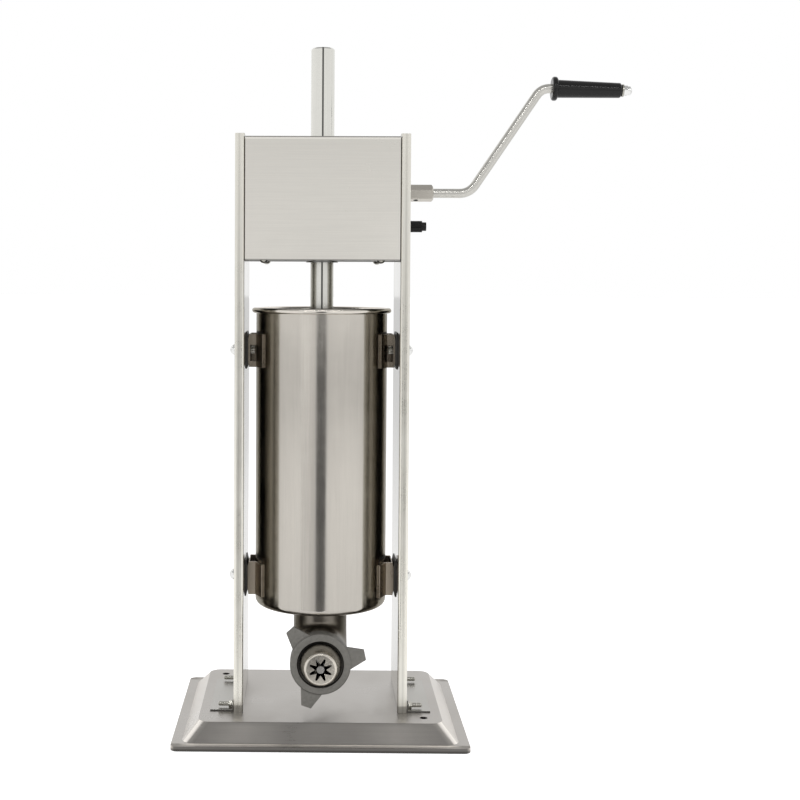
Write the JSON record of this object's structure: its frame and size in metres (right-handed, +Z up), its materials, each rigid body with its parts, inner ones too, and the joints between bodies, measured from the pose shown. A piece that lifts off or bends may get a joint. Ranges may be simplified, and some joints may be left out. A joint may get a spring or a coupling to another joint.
{
  "type": "hand-cranked churro maker",
  "caption": "Upright hand-cranked dough press: a rack and piston drive dough down a steel barrel, through an elbow and out of a star nozzle held by a lobed nut.",
  "frame": {"origin": "on the table, under the centre of the base and the barrel's axis", "axes": "+Z up, -Y towards the nozzle and the user, +X towards the crank"},
  "size_m": [0.4826, 0.242, 0.716],
  "materials": {
    "tray_steel": "satin",
    "upright_steel": "satin",
    "foot_steel": "satin",
    "cover_steel": "brushed across",
    "plate_steel": "machined",
    "fastener_steel": "plain",
    "bright_nut_steel": "polished",
    "bush_bronze": "turned",
    "shaft_steel": "turned",
    "gear_steel": "oiled, cut",
    "black_steel": "blackened",
    "black_knob": "gloss",
    "grip_plastic": "gloss",
    "hub_steel": "milled",
    "rod_steel": "drawn",
    "rack_steel": "ground",
    "piston_plastic": "turned",
    "seal_rubber": "matt",
    "barrel_steel": "polished lengthways",
    "bracket_steel": "dull, welded",
    "pad_steel": "dull",
    "elbow_steel": "dull",
    "nozzle_steel": "polished",
    "core_steel": "turned",
    "nut_metal": "cast, matt"
  },
  "bodies": {
    "frame": {"base_tray": "tray_steel", "left_upright": "upright_steel", "right_upright": "upright_steel", "left_foot_bracket": "foot_steel", "right_foot_bracket": "foot_steel", "foot_bolts": "fastener_steel", "foot_nuts": "fastener_steel", "gearbox_front_cover": "cover_steel", "gearbox_rear_cover": "cover_steel", "gearbox_top_plate": "plate_steel", "gearbox_bottom_plate": "plate_steel", "left_side_plate": "plate_steel", "right_side_plate": "plate_steel", "underside_dome_screws": "fastener_steel", "top_screws": "fastener_steel", "side_plate_bolts": "fastener_steel", "side_plate_nuts": "fastener_steel", "shaft_bushes": "bush_bronze", "upper_rack_bush": "bush_bronze", "lower_rack_bush": "bush_bronze", "barrel": "barrel_steel", "upper_left_bracket": "bracket_steel", "lower_left_bracket": "bracket_steel", "upper_right_bracket": "bracket_steel", "lower_right_bracket": "bracket_steel", "bracket_pads": "pad_steel", "mounting_studs": "fastener_steel", "stud_washers": "fastener_steel", "stud_cap_nuts": "bright_nut_steel", "outlet_elbow": "elbow_steel", "outlet_gasket": "seal_rubber"},
    "pinion_group": {"pinion_shaft": "shaft_steel", "rack_pinion": "gear_steel", "gear_spacer": "shaft_steel", "reduction_gear": "gear_steel", "pinion_shaft_collars": "black_steel", "pinion_shaft_cap": "black_knob"},
    "crank_group": {"crank_shaft": "shaft_steel", "crank_pinion": "gear_steel", "crank_shaft_collars": "black_steel", "crank_hub": "hub_steel", "hub_set_screw": "black_steel", "crank_rod": "rod_steel", "grip_washer": "fastener_steel", "grip_cap_nut": "bright_nut_steel"},
    "grip": {"crank_grip": "grip_plastic"},
    "ram": {"rack": "rack_steel", "piston": "piston_plastic", "piston_seal": "seal_rubber", "piston_washer": "plate_steel", "piston_nut": "fastener_steel"},
    "valve": {"air_valve": "fastener_steel", "air_valve_clip": "black_steel"},
    "nozzle_set": {"nozzle": "nozzle_steel", "nozzle_core": "core_steel"},
    "lobed_nut": {"nozzle_nut": "nut_metal"}
  },
  "joints": [
    {"name": "pinion_turn", "type": "hinge", "parent": "frame", "child": "pinion_group", "pos_m": [0, 0.02, 0.5285], "axis": [1, 0, 0], "range_deg": [-1050.42, 429.72]},
    {"name": "crank_turn", "type": "hinge", "parent": "frame", "child": "crank_group", "pos_m": [0, 0.02, 0.5645], "axis": [1, 0, 0], "range_deg": [-1289.65, 3151.77]},
    {"name": "rack_slide", "type": "slide", "parent": "frame", "child": "ram", "axis": [0, 0, 1], "range_m": [-0.0905, 0.2205]},
    {"name": "grip_turn", "type": "hinge", "parent": "crank_group", "child": "grip", "pos_m": [0.244, 0.02, 0.67729], "axis": [0.9997, 0, -0.0244], "continuous": true},
    {"name": "air_valve_lift", "type": "slide", "parent": "ram", "child": "valve", "axis": [0, 0, 1], "range_m": [0, 0.003]},
    {"name": "nozzle_off", "type": "slide", "parent": "frame", "child": "nozzle_set", "axis": [0, -1, 0], "range_m": [0, 0.0121]},
    {"name": "nut_unscrew", "type": "hinge", "parent": "nozzle_set", "child": "lobed_nut", "pos_m": [0, -0.067, 0.0755], "axis": [0, -1, 0], "range_deg": [0, 1440]}
  ],
  "couplings": [
    {"joint": "crank_turn", "follows": "pinion_turn", "ratio": -3},
    {"joint": "rack_slide", "follows": "pinion_turn", "m_per_rad": -0.012},
    {"joint": "nozzle_off", "follows": "nut_unscrew", "m_per_rad": 0.00047746}
  ]
}
